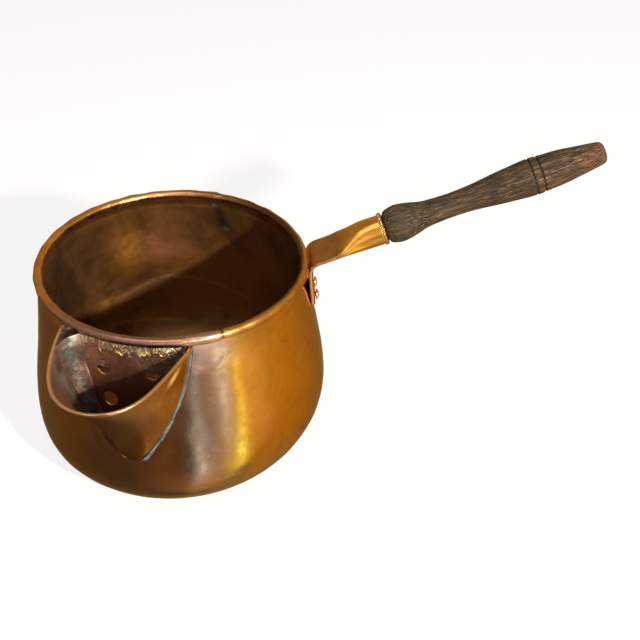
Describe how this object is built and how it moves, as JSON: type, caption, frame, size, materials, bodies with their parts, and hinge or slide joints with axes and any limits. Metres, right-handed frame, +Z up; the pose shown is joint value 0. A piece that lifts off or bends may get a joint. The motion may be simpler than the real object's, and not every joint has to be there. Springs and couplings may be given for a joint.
{
  "type": "copper saucepan",
  "caption": "Deep round-bellied copper pouring saucepan with a soldered side spout, a strainer behind it and a turned wood handle in a riveted tube socket.",
  "frame": {"origin": "centre of the flat underside of the base, where the pan stands", "axes": "+Z up, +X from the pan's middle towards the end of the handle, +Y to the left of someone looking along the handle from the pan"},
  "size_m": [0.3836, 0.2403, 0.226],
  "materials": {
    "copper": "worn polished sheet copper with brown patina",
    "iron_wire": "plain iron wire",
    "solder": "dull blue-grey tin solder",
    "dark_wood": "weathered dark turned hardwood"
  },
  "bodies": {
    "root": {"pan_body": "copper", "rim_wire": "iron_wire", "spout": "copper", "solder_seam_right": "solder", "solder_seam_left": "solder", "solder_seam_rim": "solder", "handle_socket": "copper", "ferrule_ring": "copper", "rivet_near": "copper", "rivet_far": "copper", "handle_brad": "iron_wire", "wood_handle": "dark_wood"}
  },
  "joints": []
}
